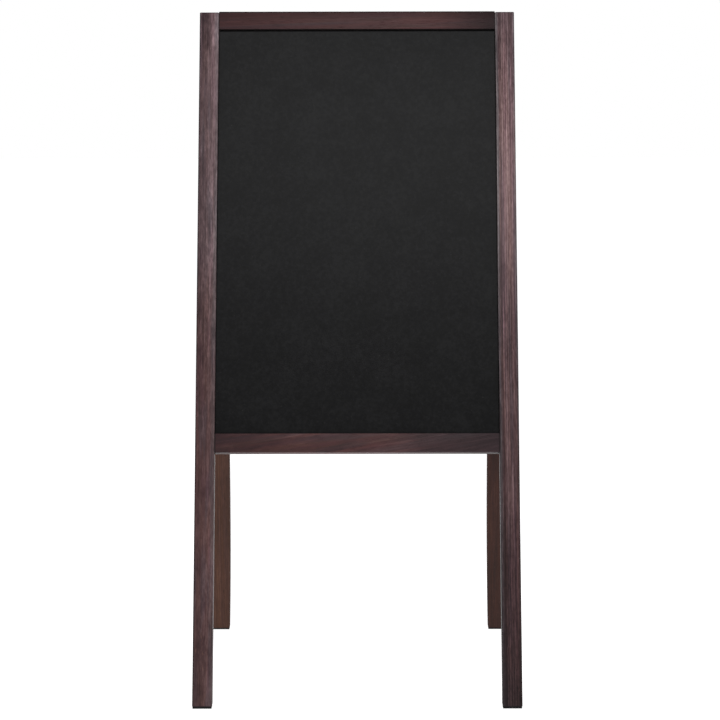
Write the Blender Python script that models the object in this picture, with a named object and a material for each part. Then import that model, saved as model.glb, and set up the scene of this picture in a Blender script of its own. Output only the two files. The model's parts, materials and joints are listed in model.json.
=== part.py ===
"""Menu chalkboard easel: a double-sided A-board of stained softwood, metres, +Z up.

Two frames, each of two stiles, two rails and a chalkboard panel held in grooves, hang from a pair of butt
hinges. They are alike, except that the back frame's legs bow a little outwards below its bottom rail. The
hinge pins' axis is parallel to X, above the origin. Two slotted stays stop the frames at the standing
angle. The origin is on the floor, midway between the four feet, and -Y is the front.

Each frame is modelled in its own space, whose origin is on the hinge axis: +X along the axis, -Y outwards
through the writing face and -Z down the stiles. An empty at the hinge axis leans that space forwards, and a
second one, turned half a turn about Z, leans it backwards.
"""

import math

import bmesh
import bpy
from mathutils import Matrix, Vector

# Driving dimensions
LEAN = math.radians(15.0)  # each frame from the vertical
FRAME_LENGTH = 1.000  # from a stile's top end to the floor, along its outer face
OPENING_WIDTH = 0.401  # between the two stiles of a frame
STILE_WIDTH = 0.0275
RAIL_HEIGHT = 0.027
MEMBER_THICKNESS = 0.020
RAIL_PROUD = 0.001  # the top rail stands this much above the stiles' ends
PANEL_SIGHT_HEIGHT = 0.591  # panel showing between the rails
PANEL_THICKNESS = 0.003
PANEL_RECESS = 0.005  # from a frame's outer face to its writing surface
FOOT_PAD_THICKNESS = 0.002
BACK_LEG_BOW = 0.0058  # the back legs' feet are sprung outwards by this much

GAP = 0.0003  # between pieces that touch
CUT_MARGIN = 0.002  # a cutter runs this far past the face that it opens
STILE_ARRIS = 0.0012  # radius of the sanded edges
RAIL_ARRIS = 0.0010
GROOVE_DEPTH = 0.006
PANEL_TENON = 0.005  # panel edge inside its groove
PANEL_ARRIS = 0.0004
FOOT_PAD_INSET = 0.0006

DOWEL_RADIUS = 0.003
DOWEL_LENGTH = 0.030
DOWELS_FROM_EDGE = (0.0055, 0.0155)  # each dowel's centre from the rail's ungrooved edge

HINGE_X = 0.130  # each hinge from the middle of the rail
HINGE_LENGTH = 0.050
LEAF_HEIGHT = 0.024
LEAF_THICKNESS = 0.0012
KNUCKLE_RADIUS = 0.0026
PIN_RADIUS = 0.00125
PIN_HEAD_HEIGHT = 0.0014
LEAF_SCREW_OFFSET = 0.015  # each screw from the middle of the leaf
LEAF_SCREW_DROP = 0.014
MIDDLE_KNUCKLE = 0.018

ARM_PIVOT_DROP = 0.250  # stay arm's pivot below the hinge axis, down the front frame
ARM_WIDTH = 0.010
ARM_THICKNESS = 0.002
TRACK_THICKNESS = 0.0015
TRACK_RISE = 0.0038  # underside of the track's raised middle, from its stile
TRACK_FOOT = 0.012
TRACK_JOGGLE = 0.004
ARM_TO_TRACK = 0.0005
STUD_RADIUS = 0.002
STUD_HEAD_RADIUS = 0.0036
STUD_HEAD_HEIGHT = 0.0015
SLOT_CLEARANCE = 0.00025
PIVOT_HEAD_RADIUS = 0.0042
PIVOT_HEAD_HEIGHT = 0.0025
PIVOT_RECESS_DEPTH = 0.0014
PIVOT_BITE = 0.016  # into the stile
SPACER_RADIUS = 0.0042

SCREW_HEAD_RADIUS = 0.0029
SCREW_SHANK_RADIUS = 0.0014
SCREW_LENGTH = 0.016
SCREW_RIM = 0.0003  # height of the head's straight edge above its cone
SCREW_RECESS_DEPTH = 0.0011

# Positions that follow from them
INNER_FACE = KNUCKLE_RADIUS + GAP  # a frame's inner face, from the plane where the frames meet when folded
OUTER_FACE = INNER_FACE + MEMBER_THICKNESS
HINGE_HEIGHT = FRAME_LENGTH * math.cos(LEAN) - OUTER_FACE * math.sin(LEAN)
HALF_OPENING = OPENING_WIDTH / 2
HALF_WIDTH = HALF_OPENING + STILE_WIDTH
SIGHT_TOP = RAIL_HEIGHT - RAIL_PROUD  # drop of the panel's upper sight line
SIGHT_BOTTOM = SIGHT_TOP + PANEL_SIGHT_HEIGHT
DOWEL_DROPS = {
    "top": [offset - RAIL_PROUD for offset in DOWELS_FROM_EDGE],
    "bottom": [SIGHT_BOTTOM + RAIL_HEIGHT - offset for offset in DOWELS_FROM_EDGE],
}
PANEL_FRONT = OUTER_FACE - PANEL_RECESS
PANEL_BACK = PANEL_FRONT - PANEL_THICKNESS
MEMBER_MIDDLE = (INNER_FACE + OUTER_FACE) / 2
LEG_START = SIGHT_BOTTOM + RAIL_HEIGHT  # drop of the bottom rail's lower edge
STAY_DEPTH = (INNER_FACE + PANEL_BACK) / 2  # middle of the recess behind a panel

# A stay's arm is as long as its pivot is far from the hinge axis, so its stud runs along a straight line
# through that axis, and the arm turns exactly twice as far as the frames fold.
ARM_LENGTH = math.hypot(ARM_PIVOT_DROP, STAY_DEPTH)
STUD_MEAN_DROP = 2 * ARM_PIVOT_DROP * (1 + math.cos(2 * LEAN)) / 2
PIVOT_RAY = math.atan2(STAY_DEPTH, ARM_PIVOT_DROP)
SLOT_RAY = math.atan2(STAY_DEPTH, STUD_MEAN_DROP)
OPEN_APEX = 2 * LEAN + PIVOT_RAY + SLOT_RAY
FOLDED_APEX = PIVOT_RAY + SLOT_RAY
STUD_OPEN = 2 * ARM_LENGTH * math.cos(OPEN_APEX)  # stud from the hinge axis, standing
STUD_FOLDED = 2 * ARM_LENGTH * math.cos(FOLDED_APEX)

# Layers of a stay, measured inwards from a stile's side face
ARM_OFFSET = TRACK_RISE + TRACK_THICKNESS + ARM_TO_TRACK
ARM_TOP = ARM_OFFSET + ARM_THICKNESS
HEAD_SEAT = ARM_TOP + GAP  # underside of a rivet's or screw's head on the arm

# The stretch of a track that is raised, down the back frame
TRACK_END = STUD_HEAD_RADIUS + 0.002
TRACK_MIDDLE = (STUD_OPEN - TRACK_END, STUD_FOLDED + TRACK_END)

ROUND_SIDES = 20
BOW_STEPS = 8
SMALL_SIDES = 14


def clear_scene():
    for obj in list(bpy.data.objects):
        bpy.data.objects.remove(obj, do_unlink=True)


def material(name, colour, roughness, metallic=0.0):
    made = bpy.data.materials.new(name)
    made.use_nodes = True
    shader = made.node_tree.nodes["Principled BSDF"]
    shader.inputs["Base Color"].default_value = (*colour, 1.0)
    shader.inputs["Roughness"].default_value = roughness
    shader.inputs["Metallic"].default_value = metallic
    return made


def add_object(name, shape, parent=None, finish=None):
    """An object from a bmesh, with its faces pointing out."""
    bmesh.ops.recalc_face_normals(shape, faces=shape.faces)
    mesh = bpy.data.meshes.new(name)
    shape.to_mesh(mesh)
    shape.free()
    obj = bpy.data.objects.new(name, mesh)
    bpy.context.scene.collection.objects.link(obj)
    obj.parent = parent
    if finish:
        mesh.materials.append(finish)
    return obj


def add_empty(name, location, rotation=(0.0, 0.0, 0.0), parent=None):
    empty = bpy.data.objects.new(name, None)
    bpy.context.scene.collection.objects.link(empty)
    empty.parent = parent
    empty.location = location
    empty.rotation_euler = rotation
    return empty


def shade_round(obj):
    obj.data.shade_smooth()
    obj.data.set_sharp_from_angle(angle=math.radians(35))


def ease_edges(obj, width, segments=2):
    bevel = obj.modifiers.new("eased_edges", "BEVEL")
    bevel.width = width
    bevel.segments = segments
    bevel.limit_method = "ANGLE"
    bevel.angle_limit = math.radians(40)


def combine(obj, other, operation):
    """A Boolean of obj with a helper object, which is then left out of the model."""
    other.hide_render = True
    other.display_type = "WIRE"
    boolean = obj.modifiers.new(operation.lower(), "BOOLEAN")
    boolean.operation = operation
    boolean.solver = "EXACT"
    boolean.object = other


def block(low, high):
    """A box between two corners."""
    shape = bmesh.new()
    low, high = Vector(low), Vector(high)
    size = high - low
    matrix = Matrix.Translation((low + high) / 2) @ Matrix.Diagonal((*size, 1.0))
    bmesh.ops.create_cube(shape, size=1.0, matrix=matrix)
    return shape


def rod(radius, start, end, sides=ROUND_SIDES):
    """A cylinder between two points."""
    shape = bmesh.new()
    start, end = Vector(start), Vector(end)
    turn = (end - start).to_track_quat("Z", "Y").to_matrix().to_4x4()
    bmesh.ops.create_cone(
        shape,
        cap_ends=True,
        segments=sides,
        radius1=radius,
        radius2=radius,
        depth=(end - start).length,
        matrix=Matrix.Translation((start + end) / 2) @ turn,
    )
    return shape


def turned(profile, base, direction, sides=ROUND_SIDES):
    """A turned solid. Its profile, from axis to axis, is (radius, distance along direction from base)."""
    shape = bmesh.new()
    corners = [shape.verts.new((radius, 0.0, along)) for radius, along in profile]
    edges = [shape.edges.new(pair) for pair in zip(corners, corners[1:])]
    bmesh.ops.spin(
        shape,
        geom=corners + edges,
        axis=(0, 0, 1),
        cent=(0, 0, 0),
        angle=math.tau,
        steps=sides,
        use_merge=True,
    )
    bmesh.ops.remove_doubles(shape, verts=shape.verts, dist=1e-6)
    turn = Vector(direction).to_track_quat("Z", "Y").to_matrix().to_4x4()
    bmesh.ops.transform(shape, matrix=Matrix.Translation(base) @ turn, verts=shape.verts)
    return shape


def prism(outline, thickness, matrix=None):
    """A flat outline of (x, y) points in the XY plane, raised along +Z."""
    shape = bmesh.new()
    face = shape.faces.new([shape.verts.new((x, y, 0.0)) for x, y in outline])
    raised = bmesh.ops.extrude_face_region(shape, geom=[face])["geom"]
    corners = [item for item in raised if isinstance(item, bmesh.types.BMVert)]
    bmesh.ops.translate(shape, vec=(0, 0, thickness), verts=corners)
    if matrix is not None:
        bmesh.ops.transform(shape, matrix=matrix, verts=shape.verts)
    return shape


def stadium(start, end, radius, steps=8):
    """The outline of a strip with round ends, from (x, y) to (x, y)."""
    start, end = Vector(start), Vector(end)
    heading = math.atan2(end.y - start.y, end.x - start.x)
    points = []
    for centre, first in ((end, heading - math.pi / 2), (start, heading + math.pi / 2)):
        for step in range(steps + 1):
            angle = first + math.pi * step / steps
            points.append((centre.x + radius * math.cos(angle), centre.y + radius * math.sin(angle)))
    return points


def lofted(rings):
    """A closed solid through rings that have the same number of corners."""
    shape = bmesh.new()
    rows = [[shape.verts.new(corner) for corner in ring] for ring in rings]
    shape.faces.new(rows[0])
    shape.faces.new(rows[-1])
    for upper, lower in zip(rows, rows[1:]):
        for first in range(len(upper)):
            after = (first + 1) % len(upper)
            shape.faces.new((upper[first], upper[after], lower[after], lower[first]))
    bmesh.ops.recalc_face_normals(shape, faces=shape.faces)
    return shape


def side_plane(side, outwards):
    """Maps (frame y, frame z, thickness) to a plane across the frame's X, with the thickness outwards.

    The plane lies `outwards` from a stile's inner side face. side is -1 or +1 along the frame's own X.
    """
    axes = Matrix(((0, 0, side, 0), (1, 0, 0, 0), (0, 1, 0, 0), (0, 0, 0, 1)))
    return Matrix.Translation((side * (HALF_OPENING + outwards), 0, 0)) @ axes


def floor_drop(depth, height):
    """How far down a frame, at this depth from the folding plane, a level plane at this height cuts it."""
    return (HINGE_HEIGHT + depth * math.sin(LEAN) - height) / math.cos(LEAN)


def cross_recess(base, direction, size, depth):
    """The cutter for a cross-head screw's recess, which narrows downwards."""
    arm, half = size, size * 0.22
    outline = [
        (half, half), (half, arm), (-half, arm), (-half, half), (-arm, half), (-arm, -half),
        (-half, -half), (-half, -arm), (half, -arm), (half, -half), (arm, -half), (arm, half),
    ]  # fmt: skip
    shape = prism(outline, depth + GAP)
    for corner in shape.verts:
        if corner.co.z < GAP:
            corner.co.x *= 0.45
            corner.co.y *= 0.45
    turn = Vector(direction).to_track_quat("Z", "Y").to_matrix().to_4x4()
    bmesh.ops.transform(shape, matrix=Matrix.Translation(base) @ turn, verts=shape.verts)
    return shape


def countersunk_profile(grow=0.0, top=SCREW_LENGTH):
    """A countersunk screw from its tip up. grow widens it, and a higher top opens it, as its hole."""
    shank = SCREW_SHANK_RADIUS + grow
    head = SCREW_HEAD_RADIUS + grow
    rim = SCREW_LENGTH - SCREW_RIM
    return [
        (0.0, -grow),
        (shank * 0.4, -grow),
        (shank, SCREW_LENGTH / 4),
        (shank, rim - (head - shank)),
        (head, rim),
        (head, top),
        (0.0, top),
    ]


def countersunk_screw(name, seat, inwards, parent, finish):
    """A screw whose flat head lies at seat, driven along inwards, with a cross recess."""
    outwards = -Vector(inwards)
    tip = Vector(seat) - outwards * SCREW_LENGTH
    body = turned(countersunk_profile(), tip, outwards, SMALL_SIDES)
    screw = add_object(name, body, parent, finish)
    bottom = Vector(seat) - outwards * SCREW_RECESS_DEPTH
    recess = cross_recess(bottom, outwards, SCREW_HEAD_RADIUS * 0.62, SCREW_RECESS_DEPTH)
    combine(screw, add_object(name + "_recess", recess, parent), "DIFFERENCE")
    shade_round(screw)
    return screw


def screw_hole(name, seat, inwards, parent):
    outwards = -Vector(inwards)
    tip = Vector(seat) - outwards * SCREW_LENGTH
    profile = countersunk_profile(GAP, SCREW_LENGTH + CUT_MARGIN)
    return add_object(name + "_hole", turned(profile, tip, outwards, SMALL_SIDES), parent)


def drill_for_dowels(member, places, side, parent):
    """Holes for half of each dowel, into a stile or a rail, at its joints on one side."""
    for place in places:
        for number, drop in enumerate(DOWEL_DROPS[place], start=1):
            reach = DOWEL_LENGTH / 2 + 0.001
            start = (side * (HALF_OPENING - reach), -MEMBER_MIDDLE, -drop)
            end = (side * (HALF_OPENING + reach), -MEMBER_MIDDLE, -drop)
            hole = rod(DOWEL_RADIUS + GAP, start, end, SMALL_SIDES)
            name = f"{member.name}_{place}_dowel_hole_{side}_{number}"
            combine(member, add_object(name, hole, parent), "DIFFERENCE")


def bow_at(drop, bow):
    """How far outwards a leg lies at a drop: straight to the bottom rail, then a curve of short straights."""
    station = max(0.0, (drop - LEG_START) / (FRAME_LENGTH - LEG_START)) * BOW_STEPS
    before = min(int(station), BOW_STEPS - 1)
    low, high = (bow * (step / BOW_STEPS) ** 2 for step in (before, before + 1))
    return low + (high - low) * (station - before)


def build_stile(name, side, bow, parent, finish):
    """One leg of a frame: a groove for the panel, dowel holes, and a foot cut level with the floor."""
    foot = FOOT_PAD_THICKNESS + GAP
    faces = (INNER_FACE, OUTER_FACE, OUTER_FACE, INNER_FACE)
    widths = (HALF_OPENING, HALF_OPENING, HALF_WIDTH, HALF_WIDTH)
    levels = [[0.0] * 4]
    if bow:
        step_length = (FRAME_LENGTH - LEG_START) / BOW_STEPS
        levels += [[LEG_START + step * step_length] * 4 for step in range(BOW_STEPS)]
    levels.append([floor_drop(depth, foot) for depth in faces])
    rings = [
        [(side * (width + bow_at(drop, bow)), -depth, -drop) for width, depth, drop in zip(widths, faces, drops)]
        for drops in levels
    ]
    stile = add_object(name, lofted(rings), parent, finish)
    ease_edges(stile, STILE_ARRIS)
    margin = PANEL_TENON + GAP
    inner = side * HALF_OPENING
    low = (inner - side * CUT_MARGIN, -(PANEL_FRONT + GAP), -(SIGHT_BOTTOM + margin))
    high = (inner + side * GROOVE_DEPTH, -(PANEL_BACK - GAP), -(SIGHT_TOP - margin))
    combine(stile, add_object(name + "_groove", block(low, high), parent), "DIFFERENCE")
    drill_for_dowels(stile, ("top", "bottom"), side, parent)
    shade_round(stile)
    return stile


def build_rail(name, place, parent, finish):
    """A cross member between the stiles, grooved on the edge that faces the panel."""
    half_length = HALF_OPENING - GAP
    edges = {"top": (-SIGHT_TOP, RAIL_PROUD), "bottom": (-(SIGHT_BOTTOM + RAIL_HEIGHT), -SIGHT_BOTTOM)}
    low = (-half_length, -OUTER_FACE, edges[place][0])
    high = (half_length, -INNER_FACE, edges[place][1])
    rail = add_object(name, block(low, high), parent, finish)
    ease_edges(rail, RAIL_ARRIS)
    sight, inwards = (-SIGHT_TOP, 1) if place == "top" else (-SIGHT_BOTTOM, -1)
    low = (-HALF_OPENING - CUT_MARGIN, -(PANEL_FRONT + GAP), sight - inwards * CUT_MARGIN)
    high = (HALF_OPENING + CUT_MARGIN, -(PANEL_BACK - GAP), sight + inwards * GROOVE_DEPTH)
    combine(rail, add_object(name + "_groove", block(low, high), parent), "DIFFERENCE")
    for side in (-1, 1):
        drill_for_dowels(rail, (place,), side, parent)
    shade_round(rail)
    return rail


def build_panel(name, parent, finish):
    half = HALF_OPENING + PANEL_TENON
    low = (-half, -PANEL_FRONT, -(SIGHT_BOTTOM + PANEL_TENON))
    high = (half, -PANEL_BACK, -(SIGHT_TOP - PANEL_TENON))
    panel = add_object(name, block(low, high), parent, finish)
    ease_edges(panel, PANEL_ARRIS, 1)
    return panel


def build_dowels(frame_name, side_name, side, parent, finish):
    """Two dowels in each rail joint on one side."""
    for place, drops in DOWEL_DROPS.items():
        for number, drop in enumerate(drops, start=1):
            start = (side * (HALF_OPENING - DOWEL_LENGTH / 2), -MEMBER_MIDDLE, -drop)
            end = (side * (HALF_OPENING + DOWEL_LENGTH / 2), -MEMBER_MIDDLE, -drop)
            name = f"{frame_name}_{place}_{side_name}_dowel_{number}"
            shade_round(add_object(name, rod(DOWEL_RADIUS, start, end, SMALL_SIDES), parent, finish))


def build_foot_pad(name, side, bow, parent, finish):
    """A thin pad glued under a foot, level with the floor."""
    near, far = INNER_FACE + FOOT_PAD_INSET, OUTER_FACE - FOOT_PAD_INSET
    section = [(-depth, -floor_drop(depth, 0.0)) for depth in (near, far)]
    section += [(-depth, -floor_drop(depth, FOOT_PAD_THICKNESS)) for depth in (far, near)]
    width = STILE_WIDTH - 2 * FOOT_PAD_INSET
    pad = prism(section, width, side_plane(side, FOOT_PAD_INSET + bow))
    return add_object(name, pad, parent, finish)


def knuckle_outline():
    """A hinge barrel's section with the web down to its leaf, as (frame y, frame z) points.

    The leaf's wood side is tangent to the barrel at y = -KNUCKLE_RADIUS.
    """
    inner = KNUCKLE_RADIUS - LEAF_THICKNESS
    web_foot = -LEAF_HEIGHT / 4
    first = math.pi
    last = math.acos(inner / KNUCKLE_RADIUS) - math.pi
    points = [(-KNUCKLE_RADIUS, web_foot)]
    for step in range(ROUND_SIDES + 1):
        angle = first + (last - first) * step / ROUND_SIDES
        points.append((KNUCKLE_RADIUS * math.cos(angle), KNUCKLE_RADIUS * math.sin(angle)))
    points.append((-inner, web_foot))
    return points


def build_leaf(name, centre_x, knuckles, parent, finish):
    """A hinge leaf: a plate on a top rail's inner face, rolled into knuckles round the pin."""
    half = HINGE_LENGTH / 2
    low = (centre_x - half, -KNUCKLE_RADIUS, -LEAF_HEIGHT)
    high = (centre_x + half, -(KNUCKLE_RADIUS - LEAF_THICKNESS), -(KNUCKLE_RADIUS + 2 * GAP))
    leaf = add_object(name, block(low, high), parent, finish)
    along_x = Matrix(((0, 0, 1, 0), (1, 0, 0, 0), (0, 1, 0, 0), (0, 0, 0, 1)))
    for number, (start, end) in enumerate(knuckles, start=1):
        matrix = Matrix.Translation((centre_x + start, 0, 0)) @ along_x
        barrel = prism(knuckle_outline(), end - start, matrix)
        combine(leaf, add_object(f"{name}_knuckle_{number}", barrel, parent), "UNION")
    past = half + CUT_MARGIN
    bore = rod(PIN_RADIUS + GAP, (centre_x - past, 0, 0), (centre_x + past, 0, 0), SMALL_SIDES)
    combine(leaf, add_object(name + "_bore", bore, parent), "DIFFERENCE")
    return leaf


def pin_profile():
    """A hinge pin with a peened head at each end, as (radius, distance from its middle)."""
    head = PIN_RADIUS * 1.6
    shoulder = HINGE_LENGTH / 2 + GAP
    end = HINGE_LENGTH / 2 + PIN_HEAD_HEIGHT
    half = [(PIN_RADIUS, shoulder), (head, shoulder), (head, end - head / 4), (PIN_RADIUS * 0.9, end)]
    half.append((0.0, end))
    return [(radius, -along) for radius, along in reversed(half)] + half


def build_hinge(side_name, centre_x, front, back, finishes, rails):
    """A butt hinge with its pin and four screws."""
    half, middle = HINGE_LENGTH / 2, MIDDLE_KNUCKLE / 2
    outer_knuckles = [(-half, -middle - GAP), (middle + GAP, half)]
    halves = {
        "front": (front, centre_x, outer_knuckles),
        "back": (back, -centre_x, [(-middle, middle)]),
    }
    for place, (parent, local_x, knuckles) in halves.items():
        leaf_name = f"{side_name}_hinge_{place}_leaf"
        leaf = build_leaf(leaf_name, local_x, knuckles, parent, finishes["steel"])
        for number, offset in enumerate((-LEAF_SCREW_OFFSET, LEAF_SCREW_OFFSET), start=1):
            seat = (local_x + offset, LEAF_THICKNESS - KNUCKLE_RADIUS, -LEAF_SCREW_DROP)
            name = f"{side_name}_hinge_{place}_screw_{number}"
            countersunk_screw(name, seat, (0, -1, 0), parent, finishes["screw"])
            hole = screw_hole(name, seat, (0, -1, 0), parent)
            combine(leaf, hole, "DIFFERENCE")
            combine(rails[place], hole, "DIFFERENCE")
        shade_round(leaf)
    pin = turned(pin_profile(), (centre_x, 0, 0), (1, 0, 0), SMALL_SIDES)
    shade_round(add_object(f"{side_name}_hinge_pin", pin, front, finishes["steel"]))


def track_outline():
    """The stay track's side view as (drop, distance from the stile): two feet and a raised middle."""
    rise = TRACK_RISE - GAP
    begin, finish = TRACK_MIDDLE
    under = [
        (begin - TRACK_JOGGLE - TRACK_FOOT, GAP), (begin - TRACK_JOGGLE, GAP), (begin, TRACK_RISE),
        (finish, TRACK_RISE), (finish + TRACK_JOGGLE, GAP), (finish + TRACK_JOGGLE + TRACK_FOOT, GAP),
    ]  # fmt: skip
    # At each bend the upper face's corner moves along, so that the strip keeps its thickness.
    bend = TRACK_THICKNESS * math.tan(math.atan2(rise, TRACK_JOGGLE) / 2)
    shifts = (0, -bend, -bend, bend, bend, 0)
    over = [(drop + shift, off + TRACK_THICKNESS) for (drop, off), shift in zip(under, shifts)]
    return under + over[::-1]


def build_track(name, side, parent, finish):
    """The slotted track on a back stile's side face, in which the arm's stud runs."""
    half = ARM_WIDTH / 2
    axes = Matrix(((0, -side, 0, 0), (0, 0, 1, 0), (-1, 0, 0, 0), (0, 0, 0, 1)))
    matrix = Matrix.Translation((side * HALF_OPENING, -STAY_DEPTH - half, 0)) @ axes
    track = add_object(name, prism(track_outline(), ARM_WIDTH, matrix), parent, finish)
    heading = Vector((-math.sin(SLOT_RAY), -math.cos(SLOT_RAY)))
    outline = stadium(heading * STUD_OPEN, heading * STUD_FOLDED, STUD_RADIUS + SLOT_CLEARANCE)
    past = TRACK_THICKNESS + CUT_MARGIN
    slot = prism(outline, past, side_plane(side, -(TRACK_RISE + past - CUT_MARGIN / 2)))
    combine(track, add_object(name + "_slot", slot, parent), "DIFFERENCE")
    return track


def build_arm(name, pivot, side, finish):
    """The stay's flat arm, from its pivot at the empty's origin down to its stud."""
    outline = stadium((0, 0), (0, -ARM_LENGTH), ARM_WIDTH / 2)
    arm = add_object(name, prism(outline, ARM_THICKNESS, side_plane(side, -ARM_TOP)), pivot, finish)
    for end, drop in (("pivot", 0.0), ("stud", ARM_LENGTH)):
        start = (side * (HALF_OPENING - ARM_OFFSET + CUT_MARGIN), 0, -drop)
        stop = (side * (HALF_OPENING - ARM_TOP - CUT_MARGIN), 0, -drop)
        hole = rod(STUD_RADIUS + GAP, start, stop, SMALL_SIDES)
        combine(arm, add_object(f"{name}_{end}_hole", hole, pivot), "DIFFERENCE")
    shade_round(arm)
    return arm


def build_stud(name, pivot, side, finish):
    """The rivet through the arm's lower end. Its rear head is trapped behind the track."""
    behind = TRACK_RISE - GAP
    rear, top = behind - STUD_HEAD_HEIGHT, HEAD_SEAT + STUD_HEAD_HEIGHT
    profile = [
        (0.0, rear), (STUD_HEAD_RADIUS * 0.9, rear), (STUD_HEAD_RADIUS, rear + GAP),
        (STUD_HEAD_RADIUS, behind), (STUD_RADIUS, behind), (STUD_RADIUS, HEAD_SEAT),
        (STUD_HEAD_RADIUS, HEAD_SEAT), (STUD_HEAD_RADIUS * 0.92, top - STUD_HEAD_HEIGHT * 0.6),
        (STUD_HEAD_RADIUS * 0.62, top - STUD_HEAD_HEIGHT * 0.2), (0.0, top),
    ]  # fmt: skip
    base = (side * HALF_OPENING, 0, -ARM_LENGTH)
    shade_round(add_object(name, turned(profile, base, (-side, 0, 0)), pivot, finish))


def build_pivot_screw(name, side, parent, finish):
    """The shouldered pan-head screw that an arm turns on, with a cross recess."""
    thread, top = STUD_RADIUS * 0.8, HEAD_SEAT + PIVOT_HEAD_HEIGHT
    profile = [
        (0.0, -PIVOT_BITE), (thread / 2, -PIVOT_BITE), (thread, -PIVOT_BITE * 0.75),
        (thread, -2 * GAP), (STUD_RADIUS, 0.0), (STUD_RADIUS, HEAD_SEAT),
        (PIVOT_HEAD_RADIUS, HEAD_SEAT), (PIVOT_HEAD_RADIUS, top - PIVOT_HEAD_HEIGHT * 0.6),
        (PIVOT_HEAD_RADIUS * 0.72, top - PIVOT_HEAD_HEIGHT * 0.15), (0.0, top),
    ]  # fmt: skip
    base = Vector((side * HALF_OPENING, -STAY_DEPTH, -ARM_PIVOT_DROP))
    screw = add_object(name, turned(profile, base, (-side, 0, 0)), parent, finish)
    bottom = base + Vector((-side * (top - PIVOT_RECESS_DEPTH), 0, 0))
    recess = cross_recess(bottom, (-side, 0, 0), PIVOT_HEAD_RADIUS * 0.55, PIVOT_RECESS_DEPTH)
    combine(screw, add_object(name + "_recess", recess, parent), "DIFFERENCE")
    shade_round(screw)


def build_spacer(name, side, parent, finish):
    """The nylon sleeve that holds an arm off its stile."""
    base = Vector((side * HALF_OPENING, -STAY_DEPTH, -ARM_PIVOT_DROP))
    inwards = Vector((-side, 0, 0))
    start, end = base + inwards * GAP, base + inwards * (ARM_OFFSET - GAP)
    spacer = add_object(name, rod(SPACER_RADIUS, start, end), parent, finish)
    past = inwards * CUT_MARGIN
    bore = rod(STUD_RADIUS + GAP, start - past, end + past, SMALL_SIDES)
    combine(spacer, add_object(name + "_bore", bore, parent), "DIFFERENCE")
    shade_round(spacer)


def build_stay(side_name, world_side, front, back, finishes, stiles):
    """One stay: its arm turns on the front stile and its stud slides in a track on the back stile."""
    front_side, back_side = world_side, -world_side
    build_pivot_screw(f"{side_name}_stay_pivot_screw", front_side, front, finishes["screw"])
    build_spacer(f"{side_name}_stay_spacer", front_side, front, finishes["nylon"])
    base = Vector((front_side * HALF_OPENING, -STAY_DEPTH, -ARM_PIVOT_DROP))
    into_wood = Vector((front_side, 0, 0))
    bottom = base + into_wood * (PIVOT_BITE + 2 * GAP)
    pilot = rod(STUD_RADIUS + GAP, base - into_wood * CUT_MARGIN, bottom, SMALL_SIDES)
    combine(stiles["front"], add_object(f"{side_name}_stay_pilot", pilot, front), "DIFFERENCE")

    swing = 2 * OPEN_APEX - PIVOT_RAY  # the arm from the front frame's own down direction
    pivot = add_empty(f"{side_name}_stay_pivot", (0, -STAY_DEPTH, -ARM_PIVOT_DROP), (swing, 0, 0), front)
    build_arm(f"{side_name}_stay_arm", pivot, front_side, finishes["steel"])
    build_stud(f"{side_name}_stay_stud", pivot, front_side, finishes["screw"])

    track = build_track(f"{side_name}_stay_track", back_side, back, finishes["steel"])
    to_screw = TRACK_JOGGLE + TRACK_FOOT / 2
    screw_drops = {"upper": TRACK_MIDDLE[0] - to_screw, "lower": TRACK_MIDDLE[1] + to_screw}
    for place, drop in screw_drops.items():
        name = f"{side_name}_stay_track_{place}_screw"
        seat = (back_side * (HALF_OPENING - GAP - TRACK_THICKNESS), -STAY_DEPTH, -drop)
        countersunk_screw(name, seat, (back_side, 0, 0), back, finishes["screw"])
        hole = screw_hole(name, seat, (back_side, 0, 0), back)
        combine(track, hole, "DIFFERENCE")
        combine(stiles["back"], hole, "DIFFERENCE")
    shade_round(track)


def build_frame(name, parent, turn, bow, finishes):
    """One leaning frame. turn is +1 or -1: the world X direction of the frame's own +X."""
    pieces = {"rails": {}, "stiles": {}}
    for world_name, world_side in (("left", -1), ("right", 1)):
        side = world_side * turn
        stile_name = f"{name}_{world_name}_stile"
        pieces["stiles"][world_name] = build_stile(
            stile_name, side, bow, parent, finishes["wood"]
        )
        build_dowels(name, world_name, side, parent, finishes["dowel"])
        build_foot_pad(f"{name}_{world_name}_foot_pad", side, bow, parent, finishes["rubber"])
    for place in ("top", "bottom"):
        rail_name = f"{name}_{place}_rail"
        pieces["rails"][place] = build_rail(rail_name, place, parent, finishes["wood"])
    build_panel(f"{name}_chalkboard", parent, finishes["board"])
    return pieces


def build_easel():
    finishes = {
        "wood": material("stained_wood", (0.085, 0.045, 0.040), 0.45),
        "board": material("chalkboard_paint", (0.018, 0.018, 0.019), 0.75),
        "dowel": material("beech", (0.55, 0.38, 0.22), 0.60),
        "steel": material("zinc_plated_steel", (0.62, 0.62, 0.60), 0.32, 1.0),
        "screw": material("screw_steel", (0.55, 0.54, 0.50), 0.30, 1.0),
        "nylon": material("black_nylon", (0.020, 0.020, 0.022), 0.50),
        "rubber": material("foot_rubber", (0.012, 0.012, 0.012), 0.85),
    }
    hinge_axis = (0, 0, HINGE_HEIGHT)
    front = add_empty("front_frame_axis", hinge_axis, (-LEAN, 0, 0))
    back = add_empty("back_frame_axis", hinge_axis, (-LEAN, 0, math.pi))
    front_pieces = build_frame("front", front, 1, 0.0, finishes)
    back_pieces = build_frame("back", back, -1, BACK_LEG_BOW, finishes)
    rails = {"front": front_pieces["rails"]["top"], "back": back_pieces["rails"]["top"]}
    for side_name, world_side in (("left", -1), ("right", 1)):
        build_hinge(side_name, world_side * HINGE_X, front, back, finishes, rails)
        stiles = {"front": front_pieces["stiles"][side_name], "back": back_pieces["stiles"][side_name]}
        build_stay(side_name, world_side, front, back, finishes, stiles)


clear_scene()
build_easel()
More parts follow.
